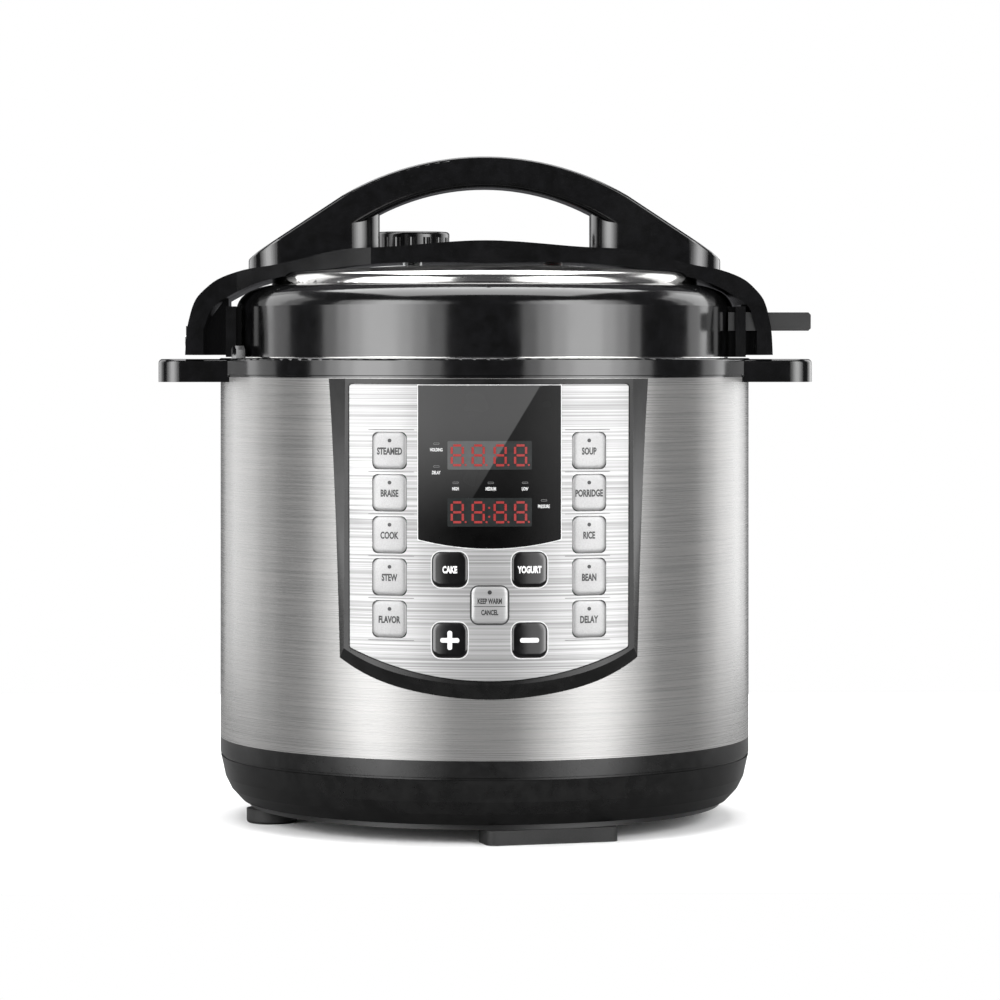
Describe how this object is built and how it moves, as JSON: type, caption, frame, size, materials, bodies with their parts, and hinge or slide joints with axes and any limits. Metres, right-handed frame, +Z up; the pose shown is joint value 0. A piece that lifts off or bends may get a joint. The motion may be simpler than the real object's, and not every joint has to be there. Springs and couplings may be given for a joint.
{
  "type": "electric pressure cooker",
  "caption": "Round countertop electric pressure cooker: steel body, twist-off arched-handle lid, lift-out inner pot, press keys under digit displays, side grips and rear drip cup.",
  "frame": {"origin": "on the floor under the middle of the body, at the centre of the body's vertical axis", "axes": "+Z up along the body's axis, -Y out of the control panel, +X to the right as a person facing the panel sees it"},
  "size_m": [0.325, 0.2802, 0.3314],
  "materials": {
    "shell_steel": "brushed",
    "lid_steel": "polished",
    "pot_steel": "satin",
    "cast_aluminium": "cast",
    "gloss_black": "gloss",
    "matte_black": "matte",
    "black_rubber": "matte",
    "silicone": "matte",
    "silver_plate": "brushed",
    "silver_key": "satin",
    "smoked_window": "gloss",
    "display_face": "gloss",
    "circuit_board": "satin",
    "felt": "matte",
    "steel_plain": "satin",
    "brass_pins": "polished",
    "frosted_cup": "satin",
    "red_metal": "satin",
    "wire_insulation": "matte"
  },
  "bodies": {
    "cooker": {"base_housing": "gloss_black", "bottom_plate": "matte_black", "round_feet": "black_rubber", "front_foot": "black_rubber", "top_ring": "gloss_black", "outer_shell": "shell_steel", "side_handle_right": "gloss_black", "side_handle_left": "gloss_black", "side_handle_screws": "steel_plain", "locking_bowl": "pot_steel", "insulation_wrap": "felt", "heating_plate": "cast_aluminium", "sensor_bracket": "steel_plain", "pressure_switch": "matte_black", "thermal_fuse": "matte_black", "power_board": "circuit_board", "panel_bezel": "gloss_black", "panel_overlay": "silver_plate", "panel_window": "smoked_window", "control_board": "circuit_board", "displays": "display_face", "key_switches": "matte_black", "power_inlet": "matte_black", "inlet_pins": "brass_pins", "wiring": "wire_insulation", "cup_bracket": "matte_black"},
    "pot": {"inner_pot": "pot_steel"},
    "seal": {"sealing_ring": "silicone"},
    "lid": {"lid_dome": "lid_steel", "lid_skirt": "gloss_black", "lid_bridge": "gloss_black", "lid_handle": "gloss_black", "arm_plates": "matte_black", "arm_screws": "steel_plain", "seal_retainer": "pot_steel", "exhaust_stem": "steel_plain", "anti_block_shield": "pot_steel", "float_housing": "matte_black"},
    "release_knob": {"steam_release_knob": "gloss_black"},
    "float_pin": {"float_valve": "red_metal"},
    "lock_bar": {"lid_lock_bar": "matte_black"},
    "sensor": {"temperature_sensor": "cast_aluminium", "sensor_spring": "steel_plain"},
    "cup": {"condensation_cup": "frosted_cup"},
    "b_key_left_1": {"key_left_1": "silver_key"},
    "b_key_left_2": {"key_left_2": "silver_key"},
    "b_key_left_3": {"key_left_3": "silver_key"},
    "b_key_left_4": {"key_left_4": "silver_key"},
    "b_key_left_5": {"key_left_5": "silver_key"},
    "b_key_right_1": {"key_right_1": "silver_key"},
    "b_key_right_2": {"key_right_2": "silver_key"},
    "b_key_right_3": {"key_right_3": "silver_key"},
    "b_key_right_4": {"key_right_4": "silver_key"},
    "b_key_right_5": {"key_right_5": "silver_key"},
    "b_key_upper_left": {"key_upper_left": "gloss_black"},
    "b_key_upper_right": {"key_upper_right": "gloss_black"},
    "b_key_lower_left": {"key_lower_left": "gloss_black"},
    "b_key_lower_right": {"key_lower_right": "gloss_black"},
    "b_key_cancel": {"key_cancel": "silver_key"}
  },
  "joints": [
    {"name": "pot_lift", "type": "slide", "parent": "cooker", "child": "pot", "axis": [0, 0, 1], "range_m": [0, 0.2]},
    {"name": "lid_lift", "type": "slide", "parent": "pot", "child": "seal", "axis": [0, 0, 1], "range_m": [0, 0.25]},
    {"name": "lid_twist", "type": "hinge", "parent": "seal", "child": "lid", "pos_m": [0, 0, 0.24], "axis": [0, 0, 1], "range_deg": [-30, 0]},
    {"name": "knob_turn", "type": "hinge", "parent": "lid", "child": "release_knob", "pos_m": [-0.0365, 0.057, 0.2885], "axis": [0, 0, 1], "range_deg": [0, 60]},
    {"name": "float_rise", "type": "slide", "parent": "lid", "child": "float_pin", "axis": [0, 0, 1], "range_m": [0, 0.004]},
    {"name": "lock_bar_slide", "type": "slide", "parent": "lid", "child": "lock_bar", "axis": [1, 0, 0], "range_m": [0, 0.003], "stiffness_N_per_m": 400, "springref_m": -0.003},
    {"name": "sensor_press", "type": "slide", "parent": "cooker", "child": "sensor", "axis": [0, 0, 1], "range_m": [-0.002, 0], "stiffness_N_per_m": 900, "springref_m": 0.003, "deforming": ["sensor_spring"]},
    {"name": "cup_pull", "type": "slide", "parent": "cooker", "child": "cup", "axis": [0, 1, 0], "range_m": [0, 0.04]},
    {"name": "key_left_1_press", "type": "slide", "parent": "cooker", "child": "b_key_left_1", "axis": [0, 1, 0], "range_m": [0, 0.0008], "stiffness_N_per_m": 600, "springref_m": -0.0005},
    {"name": "key_left_2_press", "type": "slide", "parent": "cooker", "child": "b_key_left_2", "axis": [0, 1, 0], "range_m": [0, 0.0008], "stiffness_N_per_m": 600, "springref_m": -0.0005},
    {"name": "key_left_3_press", "type": "slide", "parent": "cooker", "child": "b_key_left_3", "axis": [0, 1, 0], "range_m": [0, 0.0008], "stiffness_N_per_m": 600, "springref_m": -0.0005},
    {"name": "key_left_4_press", "type": "slide", "parent": "cooker", "child": "b_key_left_4", "axis": [0, 1, 0], "range_m": [0, 0.0008], "stiffness_N_per_m": 600, "springref_m": -0.0005},
    {"name": "key_left_5_press", "type": "slide", "parent": "cooker", "child": "b_key_left_5", "axis": [0, 1, 0], "range_m": [0, 0.0008], "stiffness_N_per_m": 600, "springref_m": -0.0005},
    {"name": "key_right_1_press", "type": "slide", "parent": "cooker", "child": "b_key_right_1", "axis": [0, 1, 0], "range_m": [0, 0.0008], "stiffness_N_per_m": 600, "springref_m": -0.0005},
    {"name": "key_right_2_press", "type": "slide", "parent": "cooker", "child": "b_key_right_2", "axis": [0, 1, 0], "range_m": [0, 0.0008], "stiffness_N_per_m": 600, "springref_m": -0.0005},
    {"name": "key_right_3_press", "type": "slide", "parent": "cooker", "child": "b_key_right_3", "axis": [0, 1, 0], "range_m": [0, 0.0008], "stiffness_N_per_m": 600, "springref_m": -0.0005},
    {"name": "key_right_4_press", "type": "slide", "parent": "cooker", "child": "b_key_right_4", "axis": [0, 1, 0], "range_m": [0, 0.0008], "stiffness_N_per_m": 600, "springref_m": -0.0005},
    {"name": "key_right_5_press", "type": "slide", "parent": "cooker", "child": "b_key_right_5", "axis": [0, 1, 0], "range_m": [0, 0.0008], "stiffness_N_per_m": 600, "springref_m": -0.0005},
    {"name": "key_upper_left_press", "type": "slide", "parent": "cooker", "child": "b_key_upper_left", "axis": [0, 1, 0], "range_m": [0, 0.0008], "stiffness_N_per_m": 600, "springref_m": -0.0005},
    {"name": "key_upper_right_press", "type": "slide", "parent": "cooker", "child": "b_key_upper_right", "axis": [0, 1, 0], "range_m": [0, 0.0008], "stiffness_N_per_m": 600, "springref_m": -0.0005},
    {"name": "key_lower_left_press", "type": "slide", "parent": "cooker", "child": "b_key_lower_left", "axis": [0, 1, 0], "range_m": [0, 0.0008], "stiffness_N_per_m": 600, "springref_m": -0.0005},
    {"name": "key_lower_right_press", "type": "slide", "parent": "cooker", "child": "b_key_lower_right", "axis": [0, 1, 0], "range_m": [0, 0.0008], "stiffness_N_per_m": 600, "springref_m": -0.0005},
    {"name": "key_cancel_press", "type": "slide", "parent": "cooker", "child": "b_key_cancel", "axis": [0, 1, 0], "range_m": [0, 0.0008], "stiffness_N_per_m": 600, "springref_m": -0.0005}
  ]
}
